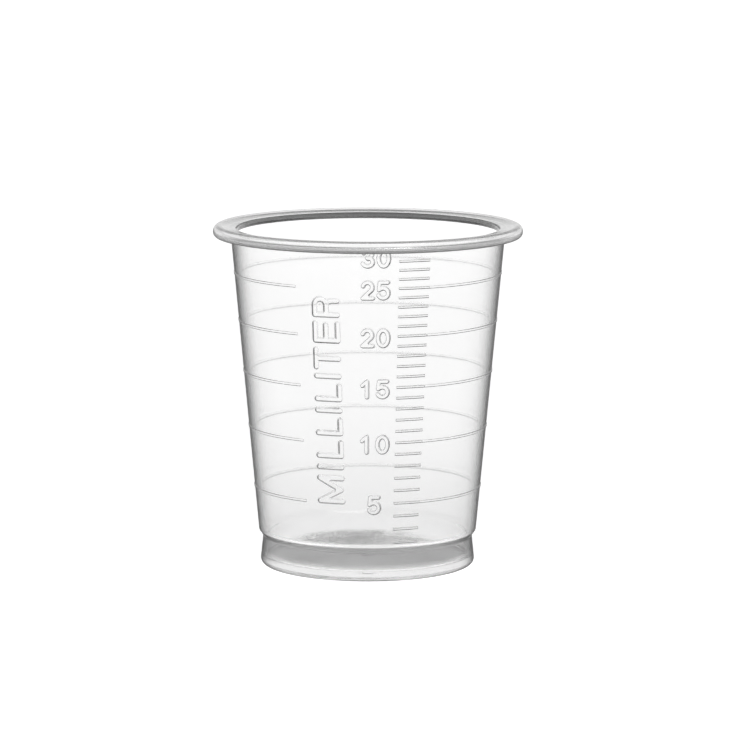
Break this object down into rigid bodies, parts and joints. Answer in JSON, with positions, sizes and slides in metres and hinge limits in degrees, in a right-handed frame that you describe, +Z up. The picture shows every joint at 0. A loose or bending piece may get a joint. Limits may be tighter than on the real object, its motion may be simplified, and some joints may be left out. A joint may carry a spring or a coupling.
{
  "type": "medicine cup",
  "caption": "Small clear plastic medicine cup with a rolled rim, stepped foot and raised millilitre scale.",
  "frame": {"origin": "centre of the foot ring's resting plane", "axes": "+Z up the cup's axis towards the mouth; -Y faces whoever reads the scale, +X to their right"},
  "size_m": [0.0398, 0.0398, 0.0442],
  "materials": {
    "clear_plastic": "clear polypropylene, polished as moulded"
  },
  "bodies": {
    "root": {"cup": "clear_plastic"}
  },
  "joints": []
}
